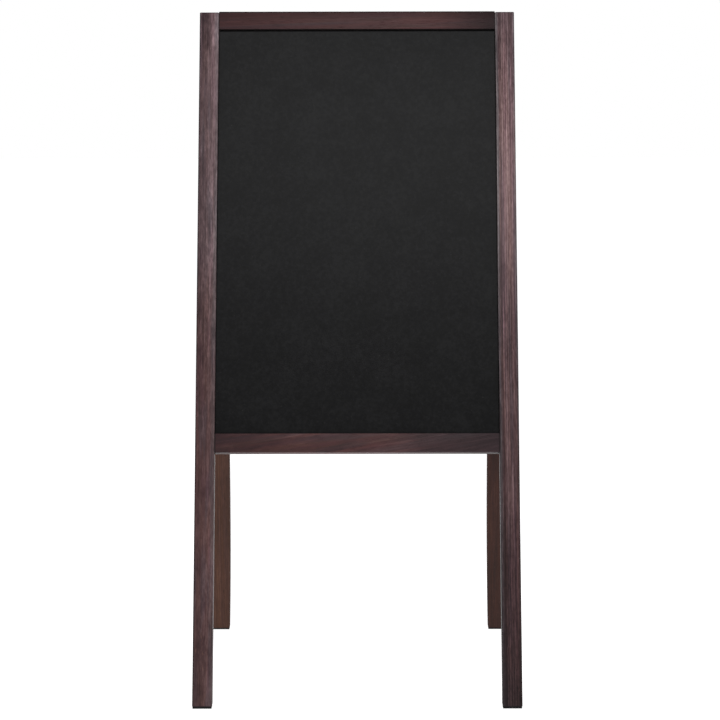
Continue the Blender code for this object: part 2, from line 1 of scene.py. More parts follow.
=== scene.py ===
"""Menu chalkboard easel: materials, smooth edges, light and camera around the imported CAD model.

The front frame's plane leans back from the hinge line at the top, and the back frame mirrors it.
Both frames share one local space, with its origin on the hinge axis: X along the axis, -Y out
through the writing face and -Z down the stiles. The wood is a solid texture in that space, so the
grain runs along each member and goes round its edges.
"""

import json
import math

import bpy
from mathutils import Euler, Matrix, Vector


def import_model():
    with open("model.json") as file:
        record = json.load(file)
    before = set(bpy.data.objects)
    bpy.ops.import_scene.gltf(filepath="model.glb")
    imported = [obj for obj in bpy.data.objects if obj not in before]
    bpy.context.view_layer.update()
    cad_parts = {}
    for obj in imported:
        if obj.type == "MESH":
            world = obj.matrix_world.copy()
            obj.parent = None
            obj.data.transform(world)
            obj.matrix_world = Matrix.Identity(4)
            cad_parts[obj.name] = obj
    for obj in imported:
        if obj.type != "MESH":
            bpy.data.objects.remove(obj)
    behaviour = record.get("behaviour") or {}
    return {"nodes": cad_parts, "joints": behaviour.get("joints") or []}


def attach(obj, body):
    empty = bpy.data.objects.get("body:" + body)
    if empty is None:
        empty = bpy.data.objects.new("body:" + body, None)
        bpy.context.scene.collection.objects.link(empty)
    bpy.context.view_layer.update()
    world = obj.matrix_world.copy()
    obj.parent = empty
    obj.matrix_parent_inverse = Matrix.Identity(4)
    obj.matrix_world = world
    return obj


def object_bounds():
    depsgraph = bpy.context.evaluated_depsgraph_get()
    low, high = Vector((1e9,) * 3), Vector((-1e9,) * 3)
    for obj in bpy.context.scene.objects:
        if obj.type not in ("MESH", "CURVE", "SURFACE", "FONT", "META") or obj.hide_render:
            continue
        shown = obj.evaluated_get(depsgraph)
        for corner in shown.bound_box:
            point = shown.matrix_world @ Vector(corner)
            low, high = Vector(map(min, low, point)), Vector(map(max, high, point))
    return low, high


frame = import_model()
cad_lo, cad_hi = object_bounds()
nodes = frame["nodes"]
fold = next(j for j in frame["joints"] if j["name"] == "fold")
HINGE = Vector(fold["pos_m"])
LEAN = math.radians(fold["range_deg"][1] / 2)
TURN = {"front": Euler((-LEAN, 0, 0)), "back": Euler((-LEAN, 0, math.pi))}
MM = 0.001

# ---------------------------------------------------------------- node helpers


def colour(code):
    """A linear RGBA colour from a hex sRGB code."""
    parts = [int(code[i : i + 2], 16) / 255 for i in (0, 2, 4)]
    return [c / 12.92 if c <= 0.04045 else ((c + 0.055) / 1.055) ** 2.4 for c in parts] + [1.0]


class Net:
    """Short calls that add nodes to one material and link them."""

    def __init__(self, name, slot):
        self.material = bpy.data.materials.new(name)
        self.material.use_nodes = True
        self.material["slot"] = slot
        self.tree = self.material.node_tree
        self.tree.nodes.clear()
        self.shader = self.tree.nodes.new("ShaderNodeBsdfPrincipled")
        output = self.tree.nodes.new("ShaderNodeOutputMaterial")
        self.tree.links.new(self.shader.outputs[0], output.inputs["Surface"])

    def put(self, socket, value):
        """Links a socket to the input, or sets a plain value on it."""
        if isinstance(value, bpy.types.NodeSocket):
            self.tree.links.new(value, socket)
        else:
            socket.default_value = value

    def add(self, kind, inputs, **settings):
        """Adds a node with its settings, and fills its inputs by name or by place."""
        node = self.tree.nodes.new("ShaderNode" + kind)
        for key, value in settings.items():
            setattr(node, key, value)
        for key, value in inputs.items():
            self.put(node.inputs[key], value)
        return node

    def math(self, operation, a, b=0.0, clamp=False):
        node = self.add("Math", {0: a, 1: b}, operation=operation, use_clamp=clamp)
        return node.outputs[0]

    def swing(self, value, factor, centre=0.5):
        """A term for total(): how far a value is from its centre, times a factor."""
        return self.math("SUBTRACT", value, centre), factor

    def total(self, *terms):
        """The sum of numbers, sockets and (socket, factor) pairs."""
        result = 0.0
        for term in terms:
            if isinstance(term, tuple):
                result = self.add(
                    "Math", {0: term[0], 1: term[1], 2: result}, operation="MULTIPLY_ADD"
                ).outputs[0]
            else:
                result = self.math("ADD", term, result)
        return result

    def remap(self, value, low, high, to_low=0.0, to_high=1.0, smooth=True):
        """Turns the range from low to high into to_low to to_high, and holds the ends."""
        inputs = {"Value": value, 1: low, 2: high, 3: to_low, 4: to_high}
        kind = "SMOOTHSTEP" if smooth else "LINEAR"
        return self.add("MapRange", inputs, interpolation_type=kind).outputs[0]

    def split(self, vector):
        return self.add("SeparateXYZ", {0: vector}).outputs

    def join(self, x, y, z):
        return self.add("CombineXYZ", {0: x, 1: y, 2: z}).outputs[0]

    def scaled(self, vector, factors, offset=(0.0, 0.0, 0.0)):
        """The point times a factor for each axis, for noise in cycles per metre."""
        inputs = {0: vector, 1: factors, 2: offset}
        return self.add("VectorMath", inputs, operation="MULTIPLY_ADD").outputs[0]

    def even_noise(self, point, scale, detail, roughness=0.5, offset=(0.0, 0.0, 0.0)):
        """Noise at one scale in every direction, in cycles per metre."""
        return self.noise(self.scaled(point, (scale,) * 3, offset), detail, roughness)

    def noise(self, vector, detail=2.0, roughness=0.5, distortion=0.0):
        inputs = {
            "Vector": vector,
            "Scale": 1.0,
            "Detail": detail,
            "Roughness": roughness,
            "Distortion": distortion,
        }
        return self.add("TexNoise", inputs).outputs["Fac"]

    def ramp(self, value, stops):
        node = self.add("ValToRGB", {0: value})
        elements = node.color_ramp.elements
        while len(elements) < len(stops):
            elements.new(0.5)
        for element, (place, tone) in zip(elements, stops):
            element.position = place
            element.color = tone
        return node.outputs[0]

    def mix(self, factor, a, b, blend="MIX"):
        """Mixes two colours. A Mix node has its colours in inputs 6 and 7 and in output 2."""
        node = self.add("Mix", {0: factor, 6: a, 7: b}, data_type="RGBA", blend_type=blend)
        return node.outputs[2]

    def dim(self, tone, factor):
        """A colour times a number."""
        tone = tone if isinstance(tone, bpy.types.NodeSocket) else tone[:3]
        node = self.add("VectorMath", {0: tone, "Scale": factor}, operation="SCALE")
        return node.outputs[0]

    def bump(self, height, distance):
        inputs = {"Height": height, "Distance": distance, "Strength": 1.0}
        return self.add("Bump", inputs).outputs[0]

    def finish(self, base, roughness, normal=None, **constants):
        """Fills the shader. The constants are set on its own sockets."""
        self.put(self.shader.inputs["Base Color"], base)
        self.put(self.shader.inputs["Roughness"], roughness)
        if normal is not None:
            self.put(self.shader.inputs["Normal"], normal)
        for key, value in constants.items():
            self.shader.inputs[key.replace("_", " ")].default_value = value
        return self.material


def object_point(net):
    """Where the point is at rest, in metres: every CAD mesh holds its place in its vertices."""
    return net.add("TexCoord", {}).outputs["Object"]


def frame_point(net, side):
    """The same point in the local space of the front or back frame."""
    inputs = {"Vector": object_point(net), "Location": HINGE, "Rotation": TURN[side]}
    return net.add("Mapping", inputs, vector_type="TEXTURE").outputs[0]


def frame_matrix(side):
    """From the local space of the front or back frame to the world, at rest."""
    return Matrix.Translation(HINGE) @ TURN[side].to_matrix().to_4x4()


def local_box(node, side):
    """A CAD node's box in its frame's local space."""
    inverse = frame_matrix(side).inverted()
    points = [inverse @ v.co for v in nodes[node].data.vertices]
    low = Vector([min(p[i] for p in points) for i in range(3)])
    high = Vector([max(p[i] for p in points) for i in range(3)])
    return low, high


# ---------------------------------------------------------------- wood

STILE_TONES = [
    (0.00, colour("2b1b1c")),
    (0.30, colour("462f30")),
    (0.52, colour("5d4342")),
    (0.74, colour("7d615f")),
    (1.00, colour("9f8380")),
]
RAIL_TONES = [
    (0.00, colour("251516")),
    (0.35, colour("362021")),
    (0.60, colour("432828")),
    (1.00, colour("5f403d")),
]
BACK_TONES = [
    (0.00, colour("2a1510")),
    (0.35, colour("3e2319")),
    (0.60, colour("4f2e23")),
    (1.00, colour("6e4838")),
]
OLIVE_TONES = [
    (0.00, colour("281610")),
    (0.35, colour("3c2419")),
    (0.60, colour("4d3024")),
    (1.00, colour("6c4a39")),
]
# Tints, each with the gain that brings it, times the stain's luminance, close to the stain's tone.
WARM = (colour("66463f"), 12.5)
LILAC = (colour("756770"), 5.6)
ROSE = (colour("77525a"), 8.6)
SLATE = (colour("746d70"), 6.0)
# EDGE_DARK: painted shade on the stiles' outer arrises, and darker member ends. LINE_DARK: the top
# rail's near-black top arris, and painted shade on its underside edge by the board.
EDGE_DARK = colour("1d1619")
LINE_DARK = colour("0d090a")
SCUFFED = colour("8e6758")

# Bands at the edges, in mm from the edge: where the change starts and where it is full.
END_BAND = (1.7, 0.5)
OUTER_BAND = (1.9, 0.6)
SKIN_BAND = (2.4, 1.2)
CREST_BAND = (2.1, 1.3)
# SIGHT_BAND: painted shade along the top rail's underside edge next to the board.
SIGHT_BAND = (0.9, 0.3)
# How much of the dark colour each band takes, and how much of it wear takes off again.
RIM_SHARE = 0.80
RAIL_END_SHARE = 0.60
LINE_SHARE = 0.92
WEAR_SHARE = 0.60

WANDER = 7.5 * MM  # how far the grain wanders across a member
RIPPLE = 1.6 * MM  # and the finer waves in it
RING_WOBBLE = 1.7  # unevenness of the growth rings, in rings
FIBRE_DEPTH = 0.16 * MM
# The same powers redden the painted shade that the along ramps add.
STAIN_AND_SHADE_POWERS = (1.12, 1.07)  # heavier stain is redder: green and blue fall faster
FOOT_ZONE = (0.26, 0.10)  # the scuffed part, from the member's low end
TOP_ZONE = (0.92, 0.96)  # where across_top takes over

# pith: where the tree's centre would be, across and in depth from the member's own centre.
# ring: ring spacing. slant: how far the grain climbs across the member along its length.
# rings, streaks, fibre, cloud, fleck, speck: how strongly each shows in the tone. length: how long
# the streaks are, in metres. hue: how far streaks drift from the base hue.
# across: tone added from the member's low edge (0) to its high edge (1); across_top: the same in
# the top zone, where it differs; edge_grey: the share of a neutral grey at the arrises, a painted
# sheen.
# along: stain strength and painted shade, from the member's low end (0) to its high end (1).
# figure, cool: the streaks' contrast and the share of greyed lilac, also from end to end.
# scuff: how bare the scratched marks near the foot are. inner: the tones of the face turned to
# the other frame, where they differ. rim: the share of painted shade on the outer arris, if not
# RIM_SHARE.
EVEN = [(0.0, 1.0), (1.0, 1.0)]
NONE = [(0.0, 0.0), (1.0, 0.0)]
LOOKS = {
    "front_left_stile": dict(
        tones=STILE_TONES, seed=1.7, pith=(-0.090, 0.030), ring=0.0052, length=0.060, slant=0.0,
        rings=0.08, streaks=0.34, fibre=0.62, cloud=0.38, fleck=0.56, speck=0.64, hue=0.42,
        scuff=0.18,
        across=[(0.0, -0.16), (0.35, -0.09), (0.58, 0.04), (0.85, 0.14), (1.0, 0.10)],
        across_top=[
            (0.0, 0.0), (0.14, -0.25), (0.46, -0.23), (0.60, 0.12), (0.85, 0.35), (1.0, 0.32),
        ],
        edge_grey=[(0.0, 0.2), (0.1, 0.0), (0.78, 0.0), (0.90, 0.45), (1.0, 0.5)],
        along=[
            (0.0, 0.74), (0.07, 0.54), (0.19, 0.84), (0.31, 0.69), (0.43, 0.72), (0.54, 0.72),
            (0.66, 1.31), (0.78, 1.17), (0.90, 1.41), (1.0, 1.0),
        ],
        figure=[
            (0.0, 0.52), (0.07, 0.66), (0.19, 0.62), (0.31, 0.50), (0.43, 0.68),
            (0.55, 0.86), (0.66, 0.80), (0.78, 0.68), (0.90, 0.54), (0.96, 0.84), (1.0, 0.92),
        ],
        cool=[(0.0, 0.0), (0.3, 0.0), (0.5, 0.06), (0.65, 0.50), (1.0, 0.45)],
    ),
    "front_right_stile": dict(
        tones=STILE_TONES, seed=5.3, pith=(0.180, 0.010), ring=0.0034, length=0.16, slant=0.0,
        rings=0.14, streaks=0.40, fibre=0.62, cloud=0.22, fleck=0.36, speck=0.34, hue=0.44,
        scuff=0.06,
        across=[
            (0.0, -0.06), (0.05, 0.12), (0.10, 0.04), (0.17, -0.12), (0.28, 0.04),
            (0.42, 0.12), (0.60, 0.05), (0.72, 0.01), (0.90, 0.03), (1.0, 0.0),
        ],
        edge_grey=[(0.0, 0.8), (0.08, 0.8), (0.16, 0.0), (0.86, 0.0), (0.94, 0.4), (1.0, 0.4)],
        rim=0.30,
        along=[
            (0.0, 0.15), (0.07, 0.22), (0.19, 0.33), (0.29, 0.61), (0.53, 0.62),
            (0.65, 1.32), (0.76, 1.60), (0.88, 1.22), (1.0, 1.02),
        ],
        figure=[
            (0.0, 1.50), (0.07, 1.25), (0.19, 1.20), (0.31, 0.95), (0.43, 1.15),
            (0.55, 1.10), (0.66, 0.76), (0.78, 0.90), (0.90, 1.12), (1.0, 1.30),
        ],
        cool=[(0.0, 0.10), (0.3, 0.20), (0.6, 0.28), (0.9, 0.20), (1.0, 0.50)],
    ),
    "front_top_rail": dict(
        tones=RAIL_TONES, seed=9.1, pith=(-0.060, 0.060), ring=0.0045, length=0.10, slant=0.03,
        rings=0.04, streaks=0.18, fibre=0.24, cloud=0.34, fleck=0.14, speck=0.12, hue=0.40,
        scuff=0.0,
        across=[(0.0, 0.0), (0.5, 0.02), (1.0, -0.06)],
        along=[(0.0, 0.90), (0.3, 1.08), (0.75, 1.24), (0.86, 1.0), (1.0, 0.46)],
        figure=EVEN,
        cool=[(0.0, 0.0), (0.8, 0.0), (1.0, 0.4)],
    ),
    "front_bottom_rail": dict(
        tones=RAIL_TONES, seed=12.6, pith=(0.050, 0.070), ring=0.0050, length=0.080, slant=0.16,
        rings=0.08, streaks=0.26, fibre=0.26, cloud=0.55, fleck=0.20, speck=0.06, hue=0.38,
        scuff=0.0,
        # The lift at the top edge is a painted highlight along the rail's upper arris.
        across=[(0.0, 0.0), (0.8, 0.0), (1.0, 0.12)],
        along=[(0.0, 0.80), (0.3, 1.28), (0.52, 1.42), (0.73, 1.26), (1.0, 0.86)],
        figure=EVEN,
        cool=[(0.0, 0.25), (0.2, 0.0), (0.55, 0.0), (0.75, 0.5), (1.0, 0.7)],
    ),
    "back_left_stile": dict(
        tones=STILE_TONES, inner=OLIVE_TONES, seed=15.2, pith=(0.140, -0.040), ring=0.0042,
        length=0.14, slant=0.0, rings=0.08, streaks=0.24, fibre=0.40, cloud=0.45, fleck=0.25,
        speck=0.25, hue=0.12, scuff=0.06,
        across=NONE, along=[(0.0, 0.96), (1.0, 0.98)], figure=EVEN, cool=NONE,
    ),
    "back_right_stile": dict(
        tones=STILE_TONES, inner=BACK_TONES, seed=19.8, pith=(-0.120, 0.050), ring=0.0040,
        length=0.14, slant=0.0, rings=0.08, streaks=0.24, fibre=0.40, cloud=0.50, fleck=0.25,
        speck=0.20, hue=0.12, scuff=0.06,
        # The dip in along a third of the way up is the painted shadow of the front frame's bottom
        # rail.
        across=NONE, along=[(0.0, 0.52), (0.22, 0.54), (0.33, 0.38), (0.40, 0.50), (1.0, 1.0)],
        figure=EVEN, cool=NONE,
    ),
    "back_top_rail": dict(
        tones=RAIL_TONES, seed=23.4, pith=(-0.050, -0.070), ring=0.0046, length=0.12, slant=-0.02,
        rings=0.06, streaks=0.22, fibre=0.24, cloud=0.40, fleck=0.15, speck=0.10, hue=0.35,
        scuff=0.0,
        across=NONE, along=[(0.0, 0.9), (0.5, 1.2), (1.0, 0.9)], figure=EVEN, cool=NONE,
    ),
    "back_bottom_rail": dict(
        tones=RAIL_TONES, seed=27.9, pith=(0.060, -0.060), ring=0.0050, length=0.10, slant=0.05,
        rings=0.06, streaks=0.24, fibre=0.24, cloud=0.45, fleck=0.15, speck=0.10, hue=0.40,
        scuff=0.0,
        across=NONE, along=[(0.0, 0.9), (0.5, 1.2), (1.0, 0.9)], figure=EVEN, cool=NONE,
    ),
}


def greys(stops, scale=1.0, shift=0.0):
    """Ramp stops for numbers, scaled and shifted into the 0 to 1 that a ramp holds."""
    return [(place, [value * scale + shift] * 3 + [1.0]) for place, value in stops]


def stained_wood(node, look):
    """Open straight grain under a dark translucent stain, in the member's own direction."""
    side, position, kind = node.split("_")
    low, high = local_box(node, side)
    middle, half = (low + high) / 2, (high - low) / 2
    net = Net(f"stained_wood_{node}", "stained_wood")
    x, y, z = net.split(frame_point(net, side))
    if kind == "stile":
        from_middle, along = net.math("SUBTRACT", x, middle.x), net.math("SUBTRACT", z, middle.z)
        half_across, half_along = half.x, half.z
    else:
        from_middle, along = net.math("SUBTRACT", z, middle.z), net.math("SUBTRACT", x, middle.x)
        half_across, half_along = half.z, half.x
    across = net.total(from_middle, (along, -look["slant"]))
    depth = net.math("SUBTRACT", y, middle.y)
    seed = look["seed"]
    grain = net.join(across, depth, along)

    def field(across_scale, along_scale, shift, detail=2.0, roughness=0.5, distortion=0.0):
        """Noise stretched along the grain, in cycles per metre. Every field has its own shift."""
        offset = (seed * 1.37 + shift, seed * 0.73 - shift, seed * 2.11 + shift * 0.7)
        point = net.scaled(grain, (across_scale, across_scale, along_scale), offset)
        return net.noise(point, detail, roughness, distortion)

    # The grain wanders a little from side to side along the member.
    wander = net.total((field(9, 3.2, 0.0), WANDER), -WANDER / 2)
    ripple = net.total((field(60, 16, 3.0, 1.0), RIPPLE), -RIPPLE / 2)
    bent = net.total(across, wander, ripple)

    # Growth rings round a pith line off to one side: thin pale latewood that takes less stain.
    pith_across, pith_depth = look["pith"]
    from_pith = net.join(
        net.math("SUBTRACT", bent, pith_across), net.math("SUBTRACT", depth, pith_depth), 0.0
    )
    radius = net.add("VectorMath", {0: from_pith}, operation="LENGTH").outputs["Value"]
    # The rings' wobble changes over about 6 mm of radius and a metre of length.
    slow_radius = net.join(
        net.math("MULTIPLY", radius, 170.0), seed, net.math("MULTIPLY", along, 1.1)
    )
    turns = net.total((radius, 1.0 / look["ring"]), (net.noise(slow_radius, 1.0), RING_WOBBLE))
    phase = net.math("FRACT", turns)
    latewood = net.math(
        "MULTIPLY", net.remap(phase, 0.45, 0.86), net.remap(phase, 0.88, 1.0, 1.0, 0.0)
    )

    # Streaks of stain 2 to 4 mm wide, fine fibre, pores, and the clouds, flecks and specks where
    # the stain soaked in unevenly.
    run = 1.0 / look["length"]
    streaks = field(240, run, 7.0, 2.0, 0.55, 0.15)
    threads = field(520, run * 1.8, 9.0, 2.0, 0.55, 0.1)
    fibre = field(1100, 18, 11.0, 3.0, 0.6)
    cloud = field(55, run * 1.3, 17.0, 3.0, 0.6, 0.5)
    fleck = field(170, 42, 19.0, 3.0, 0.65, 0.4)
    pores = net.remap(field(2100, 75, 23.0, 1.0), 0.62, 0.74)
    ticks = net.remap(field(430, 62, 29.0, 2.0), 0.64, 0.76)
    speck = field(460, 120, 53.0, 2.0, 0.6)

    edge_place = net.total((from_middle, 0.5 / half_across), (wander, 0.5 / half_across), 0.5)
    place = net.remap(along, -half_along, half_along, 0.0, 1.0, smooth=False)
    across_tone = net.ramp(edge_place, greys(look["across"], 1.0, 0.5))
    if "across_top" in look:
        top_tone = net.ramp(edge_place, greys(look["across_top"], 1.0, 0.5))
        across_tone = net.mix(net.remap(place, *TOP_ZONE), across_tone, top_tone)

    def factor_along(stops):
        """A factor that changes along the member. It can be up to 2, so the ramp holds half."""
        return net.math("MULTIPLY", net.ramp(place, greys(stops, 0.5)), 2.0)

    tone = net.total(
        0.5,
        net.swing(streaks, look["streaks"] * 1.6),
        net.swing(threads, look["streaks"] * 0.9),
        net.swing(fibre, look["fibre"] * 1.3),
        net.swing(cloud, look["cloud"] * 1.3),
        net.swing(fleck, look["fleck"]),
        net.swing(speck, look["speck"]),
        net.swing(latewood, look["rings"], centre=0.3),
        net.swing(across_tone, 1.0),
        (pores, -0.14),
        (ticks, -0.16),
    )
    tone = net.total(0.5, net.swing(tone, factor_along(look["figure"])))
    tone = net.math("ADD", tone, 0.0, clamp=True)
    base = net.ramp(tone, look["tones"])
    if "inner" in look:
        inward = net.remap(depth, -half.y, half.y)
        base = net.mix(inward, base, net.ramp(tone, look["inner"]))

    # Hue drifts between warm brown, rose and a greyed lilac from streak to streak, and parts of
    # some members are greyer altogether.
    luminance = net.add("RGBToBW", {0: base}).outputs[0]

    def at_same_tone(tint):
        hue, gain = tint
        return net.dim(hue, net.math("MULTIPLY", luminance, gain))

    for tint, shift in ((WARM, 31.0), (LILAC, 37.0), (ROSE, 43.0)):
        share = net.remap(field(150, run * 0.6, shift, 1.0), 0.50, 0.68, 0.0, look["hue"])
        base = net.mix(share, base, at_same_tone(tint))
    base = net.mix(net.ramp(place, greys(look["cool"])), base, at_same_tone(LILAC))
    # Painted sheen: the arrises are greyed, as by light reflected off the eased edges.
    if "edge_grey" in look:
        share = net.ramp(edge_place, greys(look["edge_grey"]))
        base = net.mix(share, base, at_same_tone(SLATE))

    # The members darken in places along their length, most of all towards the foot: partly heavier
    # stain, partly painted shade where less light reaches, and on the back right leg a painted
    # shadow under the front frame's bottom rail.
    stain_and_shade = factor_along(look["along"])
    green, blue = (net.math("POWER", stain_and_shade, power) for power in STAIN_AND_SHADE_POWERS)
    base = net.mix(1.0, base, net.join(stain_and_shade, green, blue), "MULTIPLY")
    if look["scuff"]:
        low_down = net.remap(place, *FOOT_ZONE)
        marks = net.remap(field(420, 85, 47.0, 3.0, 0.6), 0.60, 0.70)
        bare = net.math("MULTIPLY", net.math("MULTIPLY", marks, low_down), look["scuff"])
        base = net.mix(bare, base, SCUFFED)

    # Painted shade darkens the stiles' outer arrises, as on rounded edges turned from the light,
    # and the ends of every member are darker; a wear pattern breaks up the stiles' dark rims.
    def near(distance, reach, band):
        start, full = band
        return net.remap(distance, reach - start * MM, reach - full * MM)

    wear = net.remap(field(120, 40, 41.0, 3.0, 0.6), 0.58, 0.72)
    kept = net.math("SUBTRACT", 1.0, net.math("MULTIPLY", wear, WEAR_SHARE))
    end_rim = near(net.math("ABSOLUTE", along), half_along, END_BAND)
    skin = near(net.math("ABSOLUTE", depth), half.y, SKIN_BAND)
    if kind == "stile":
        # Painted shade on the outer arris, near the front and back faces.
        outwards = net.math("MULTIPLY", from_middle, 1.0 if middle.x > 0 else -1.0)
        arris = net.math("MULTIPLY", near(outwards, half_across, OUTER_BAND), skin)
        arris = net.math("MULTIPLY", arris, look.get("rim", RIM_SHARE))
        rim = net.math("MAXIMUM", arris, net.math("MULTIPLY", end_rim, RIM_SHARE))
        base = net.mix(net.math("MULTIPLY", rim, kept), base, EDGE_DARK)
    else:
        base = net.mix(net.math("MULTIPLY", end_rim, RAIL_END_SHARE), base, EDGE_DARK)
        if position == "top":
            # The top rail's top arris is darkened almost to black.
            crest = net.math("MULTIPLY", near(from_middle, half_across, CREST_BAND), skin)
            base = net.mix(net.math("MULTIPLY", crest, LINE_SHARE), base, LINE_DARK)
            # Painted shade: the top rail's underside edge by the board is darkened almost to
            # black, as the recess's shade.
            downwards = net.math("MULTIPLY", from_middle, -1.0)
            underside_shade = near(downwards, half_across, SIGHT_BAND)
            base = net.mix(net.math("MULTIPLY", underside_shade, LINE_SHARE), base, LINE_DARK)

    relief = net.total((fibre, 0.5), (threads, 0.35), (latewood, 0.35), (pores, -0.9))
    normal = net.bump(relief, FIBRE_DEPTH)
    roughness = net.total(0.40, (fibre, 0.14), (latewood, -0.05), (cloud, 0.10))
    return net.finish(base, roughness, normal, Specular_IOR_Level=0.18)


BEECH_TONES = [(0.3, colour("c49a6c")), (0.7, colour("dcb88c"))]
BEECH_FLECK = colour("8a5f3c")


def bare_beech():
    """Dowels: pale beech with short darker flecks."""
    net = Net("dowel_beech", "dowel_wood")
    point = object_point(net)
    figure = net.noise(net.scaled(point, (120, 500, 500)), 2.0)
    flecks = net.remap(net.noise(net.scaled(point, (500, 1500, 1500)), 1.0), 0.62, 0.72)
    base = net.ramp(figure, BEECH_TONES)
    base = net.mix(net.math("MULTIPLY", flecks, 0.5), base, BEECH_FLECK)
    normal = net.bump(figure, 0.1 * MM)
    return net.finish(base, net.total(0.52, (figure, 0.1)), normal, Specular_IOR_Level=0.4)


# ---------------------------------------------------------------- board, metal, plastic

CHARCOAL_TONES = [(0.2, colour("0a0a0b")), (0.5, colour("0f0f10")), (0.8, colour("151516"))]
CHALK_HAZE = colour("5a5b5c")
CHALK_GRIT = colour("5a5a58")
# Painted shadow of the frame on the recessed board, deepest under the top rail.
FRAME_SHADOW_DARK = colour("040404")
# The painted shadow round the board: full up to the first distance, gone at the second.
SIDE_SHADOW_REACH = (0.4 * MM, 1.5 * MM)
TOP_SHADOW_REACH = (0.9 * MM, 2.6 * MM)
STIPPLE_DEPTH = 0.12 * MM


def chalkboard(side):
    """Matt charcoal paint: rolled-on stipple, dapple, wiped haze and a painted shadow along the
    frame.
    """
    net = Net(f"chalkboard_paint_{side}", "chalkboard")
    point = frame_point(net, side)
    x, _, z = net.split(point)
    opening = local_box(f"{side}_left_stile", side), local_box(f"{side}_right_stile", side)
    sight_x = (max(b[0].x for b in opening) - min(b[1].x for b in opening)) / 2
    sight_top = local_box(f"{side}_top_rail", side)[0].z
    from_side = net.total((net.math("ABSOLUTE", x), -1.0), sight_x)
    from_top = net.total((z, -1.0), sight_top)
    # Painted shadow: the board is darkened along the stiles and, more, under the top rail.
    frame_shadow = net.math(
        "MAXIMUM",
        net.remap(from_side, *SIDE_SHADOW_REACH, 0.75, 0.0),
        net.remap(from_top, *TOP_SHADOW_REACH, 1.0, 0.0),
    )
    mottle = net.even_noise(point, 22, 2.0)
    dapple = net.even_noise(point, 190, 1.0, 0.7, (2.0, 4.0, 6.0))
    stipple = net.even_noise(point, 700, 2.0, 0.6)
    grit = net.remap(net.even_noise(point, 330, 1.0, offset=(5.0, 1.0, 2.0)), 0.70, 0.80)
    wiped = net.noise(net.scaled(point, (5, 5, 26), (3.1, 0.0, 7.7)), 3.0, 0.55, 0.6)
    haze = net.remap(wiped, 0.45, 0.75, 0.0, 0.010)
    tone = net.total(0.5, net.swing(mottle, 0.9), net.swing(dapple, 1.4), net.swing(stipple, 0.5))
    base = net.ramp(tone, CHARCOAL_TONES)
    base = net.mix(haze, base, CHALK_HAZE)
    base = net.mix(net.math("MULTIPLY", grit, 0.12), base, CHALK_GRIT)
    base = net.mix(frame_shadow, base, FRAME_SHADOW_DARK)
    normal = net.bump(net.total((stipple, 0.7), (mottle, 0.3)), STIPPLE_DEPTH)
    roughness = net.total(0.34, (stipple, 0.10), (haze, 0.6), (frame_shadow, 0.6))
    return net.finish(base, roughness, normal, Specular_IOR_Level=0.09)


ZINC_YELLOWED = colour("b6b5ae")
ZINC_GREYED = colour("a09f97")
BRUSHED_DEPTH = 0.03 * MM


def zinc_steel(name, slot, direction, base="a9abaa", dull=0.30):
    """Zinc-plated steel, drawn or brushed along one direction, with a faint yellow bloom."""
    net = Net(name, slot)
    point = object_point(net)
    stretch = [1400.0] * 3
    stretch[direction] = 30.0
    brushed = net.noise(net.scaled(point, stretch), 3.0, 0.6)
    bloom = net.even_noise(point, 60, 3.0, 0.6)
    cells = net.add("TexVoronoi", {"Vector": point, "Scale": 650.0}, feature="F1")
    tint = net.ramp(bloom, [(0.3, colour(base)), (0.55, ZINC_YELLOWED), (0.8, ZINC_GREYED)])
    tint = net.mix(0.12, tint, cells.outputs["Color"], "SOFT_LIGHT")
    roughness = net.total(dull, net.swing(brushed, 0.22), (bloom, 0.12))
    normal = net.bump(brushed, BRUSHED_DEPTH)
    return net.finish(tint, roughness, normal, Metallic=1.0)


MOULDED_SCUFF = colour("55504c")


def moulded(name, slot, shade, grain_scale, grain_depth, rough):
    """Black nylon or rubber with a fine moulded grain."""
    net = Net(name, slot)
    point = object_point(net)
    grain = net.even_noise(point, grain_scale, 3.0, 0.6)
    scuff = net.remap(net.noise(net.scaled(point, (190, 190, 60)), 3.0, 0.6), 0.52, 0.72)
    dark = colour(shade)
    light = [channel * 1.5 for channel in dark[:3]] + [1.0]
    base = net.ramp(grain, [(0.3, dark), (0.7, light)])
    base = net.mix(net.math("MULTIPLY", scuff, 0.2), base, MOULDED_SCUFF)
    normal = net.bump(grain, grain_depth)
    return net.finish(base, net.total(rough, (grain, 0.14)), normal, Specular_IOR_Level=0.35)


# ---------------------------------------------------------------- smooth edges

SMOOTH_ANGLE = math.radians(38)
WELD_DISTANCE = 0.01 * MM


def smooth_group(angle):
    """Welds the exported triangles and smooths across every edge flatter than the angle."""
    group = bpy.data.node_groups.new("smooth_by_angle", "GeometryNodeTree")
    group.interface.new_socket("Mesh", in_out="INPUT", socket_type="NodeSocketGeometry")
    group.interface.new_socket("Mesh", in_out="OUTPUT", socket_type="NodeSocketGeometry")
    start = group.nodes.new("NodeGroupInput")
    end = group.nodes.new("NodeGroupOutput")
    weld = group.nodes.new("GeometryNodeMergeByDistance")
    weld.inputs["Distance"].default_value = WELD_DISTANCE
    bend = group.nodes.new("GeometryNodeInputMeshEdgeAngle")
    sharp = group.nodes.new("FunctionNodeCompare")
    sharp.data_type, sharp.operation = "FLOAT", "GREATER_THAN"
    sharp.inputs[1].default_value = angle
    normals = group.nodes.new("GeometryNodeSetMeshNormal")
    normals.mode = "SHARPNESS"
    normals.inputs["Remove Custom"].default_value = True
    links = group.links
    links.new(start.outputs[0], weld.inputs["Geometry"])
    links.new(weld.outputs[0], normals.inputs["Mesh"])
    links.new(bend.outputs["Unsigned Angle"], sharp.inputs[0])
    links.new(sharp.outputs[0], normals.inputs["Edge Sharpness"])
    links.new(normals.outputs[0], end.inputs[0])
    return group


smoothing = smooth_group(SMOOTH_ANGLE)

# ---------------------------------------------------------------- materials on the CAD nodes

